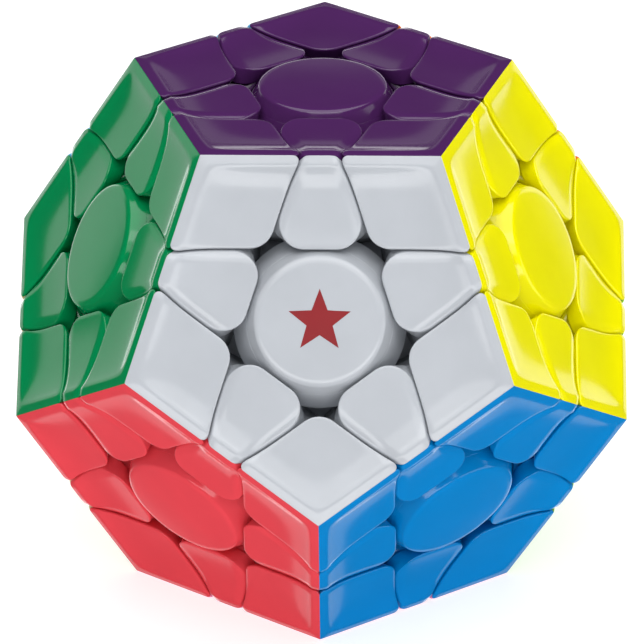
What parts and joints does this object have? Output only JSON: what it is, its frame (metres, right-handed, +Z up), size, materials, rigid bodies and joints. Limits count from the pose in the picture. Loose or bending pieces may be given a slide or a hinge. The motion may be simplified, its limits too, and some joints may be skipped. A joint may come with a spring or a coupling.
{
  "type": "dodecahedron twisty puzzle",
  "caption": "Multi-coloured dodecahedral twisty puzzle with corner, edge and centre pieces whose face layers turn about a sprung inner core.",
  "frame": {"origin": "middle of the pink face that the puzzle rests on, at the bottom centre of its box", "axes": "+Z up, along the purple and pink faces' axis; -Y towards the white face; the longest extent is along Y"},
  "size_m": [0.089, 0.0936, 0.0757],
  "materials": {
    "white_plastic": "glossy moulded plastic, coloured all through",
    "purple_plastic": "glossy moulded plastic, coloured all through",
    "yellow_plastic": "glossy moulded plastic, coloured all through",
    "orange_plastic": "glossy moulded plastic, coloured all through",
    "light_blue_plastic": "glossy moulded plastic, coloured all through",
    "green_plastic": "glossy moulded plastic, coloured all through",
    "blue_plastic": "glossy moulded plastic, coloured all through",
    "light_green_plastic": "glossy moulded plastic, coloured all through",
    "grey_plastic": "glossy moulded plastic, coloured all through",
    "cream_plastic": "glossy moulded plastic, coloured all through",
    "red_plastic": "glossy moulded plastic, coloured all through",
    "pink_plastic": "glossy moulded plastic, coloured all through",
    "core_plastic": "satin moulded nylon",
    "spring_steel": "drawn wire",
    "screw_steel": "zinc plated"
  },
  "bodies": {
    "root": {"core": "core_plastic", "tension_screws": "screw_steel", "tension_springs": "spring_steel", "spring_washers": "screw_steel", "fixed_corners": "white_plastic", "fixed_edges": "white_plastic"},
    "purple_layer": {"corner_purple_white_yellow": "purple_plastic", "corner_purple_white_green": "purple_plastic", "corner_purple_yellow_orange": "purple_plastic", "corner_purple_orange_light_blue": "purple_plastic", "corner_purple_light_blue_green": "purple_plastic", "edge_purple_white": "purple_plastic", "edge_purple_yellow": "purple_plastic", "edge_purple_orange": "purple_plastic", "edge_purple_light_blue": "purple_plastic", "edge_purple_green": "purple_plastic", "hub_purple": "purple_plastic", "cap_purple": "purple_plastic"},
    "blue_layer": {"corner_white_yellow_blue": "white_plastic", "corner_white_blue_red": "white_plastic", "corner_yellow_blue_light_green": "yellow_plastic", "corner_blue_light_green_pink": "blue_plastic", "corner_blue_red_pink": "blue_plastic", "edge_white_blue": "white_plastic", "edge_yellow_blue": "yellow_plastic", "edge_blue_light_green": "blue_plastic", "edge_blue_red": "blue_plastic", "edge_blue_pink": "blue_plastic", "hub_blue": "blue_plastic", "cap_blue": "blue_plastic"},
    "cream_layer": {"corner_light_blue_green_cream": "light_blue_plastic", "corner_light_blue_grey_cream": "light_blue_plastic", "corner_green_cream_red": "green_plastic", "corner_grey_cream_pink": "grey_plastic", "corner_cream_red_pink": "cream_plastic", "edge_light_blue_cream": "light_blue_plastic", "edge_green_cream": "green_plastic", "edge_grey_cream": "grey_plastic", "edge_cream_red": "cream_plastic", "edge_cream_pink": "cream_plastic", "hub_cream": "cream_plastic", "cap_cream": "cream_plastic"},
    "white_centre": {"hub_white": "white_plastic", "cap_white": "white_plastic"},
    "yellow_centre": {"hub_yellow": "yellow_plastic", "cap_yellow": "yellow_plastic"},
    "orange_centre": {"hub_orange": "orange_plastic", "cap_orange": "orange_plastic"},
    "light_blue_centre": {"hub_light_blue": "light_blue_plastic", "cap_light_blue": "light_blue_plastic"},
    "green_centre": {"hub_green": "green_plastic", "cap_green": "green_plastic"},
    "light_green_centre": {"hub_light_green": "light_green_plastic", "cap_light_green": "light_green_plastic"},
    "grey_centre": {"hub_grey": "grey_plastic", "cap_grey": "grey_plastic"},
    "red_centre": {"hub_red": "red_plastic", "cap_red": "red_plastic"},
    "pink_centre": {"hub_pink": "pink_plastic", "cap_pink": "pink_plastic"}
  },
  "joints": [
    {"name": "purple_layer_turn", "type": "hinge", "parent": "root", "child": "purple_layer", "pos_m": [0, 0, 0.03786], "axis": [0, 0, 1], "continuous": true},
    {"name": "blue_layer_turn", "type": "hinge", "parent": "root", "child": "blue_layer", "pos_m": [0, 0, 0.03786], "axis": [0.5257, -0.7236, -0.4472], "continuous": true},
    {"name": "cream_layer_turn", "type": "hinge", "parent": "root", "child": "cream_layer", "pos_m": [0, 0, 0.03786], "axis": [-0.8507, 0.2764, -0.4472], "continuous": true},
    {"name": "white_centre_turn", "type": "hinge", "parent": "root", "child": "white_centre", "pos_m": [0, 0, 0.03786], "axis": [0, -0.8944, 0.4472], "continuous": true},
    {"name": "yellow_centre_turn", "type": "hinge", "parent": "root", "child": "yellow_centre", "pos_m": [0, 0, 0.03786], "axis": [0.8507, -0.2764, 0.4472], "continuous": true},
    {"name": "orange_centre_turn", "type": "hinge", "parent": "root", "child": "orange_centre", "pos_m": [0, 0, 0.03786], "axis": [0.5257, 0.7236, 0.4472], "continuous": true},
    {"name": "light_blue_centre_turn", "type": "hinge", "parent": "root", "child": "light_blue_centre", "pos_m": [0, 0, 0.03786], "axis": [-0.5257, 0.7236, 0.4472], "continuous": true},
    {"name": "green_centre_turn", "type": "hinge", "parent": "root", "child": "green_centre", "pos_m": [0, 0, 0.03786], "axis": [-0.8507, -0.2764, 0.4472], "continuous": true},
    {"name": "light_green_centre_turn", "type": "hinge", "parent": "root", "child": "light_green_centre", "pos_m": [0, 0, 0.03786], "axis": [0.8507, 0.2764, -0.4472], "continuous": true},
    {"name": "grey_centre_turn", "type": "hinge", "parent": "root", "child": "grey_centre", "pos_m": [0, 0, 0.03786], "axis": [0, 0.8944, -0.4472], "continuous": true},
    {"name": "red_centre_turn", "type": "hinge", "parent": "root", "child": "red_centre", "pos_m": [0, 0, 0.03786], "axis": [-0.5257, -0.7236, -0.4472], "continuous": true},
    {"name": "pink_centre_turn", "type": "hinge", "parent": "root", "child": "pink_centre", "pos_m": [0, 0, 0.03786], "axis": [0, 0, -1], "continuous": true}
  ]
}
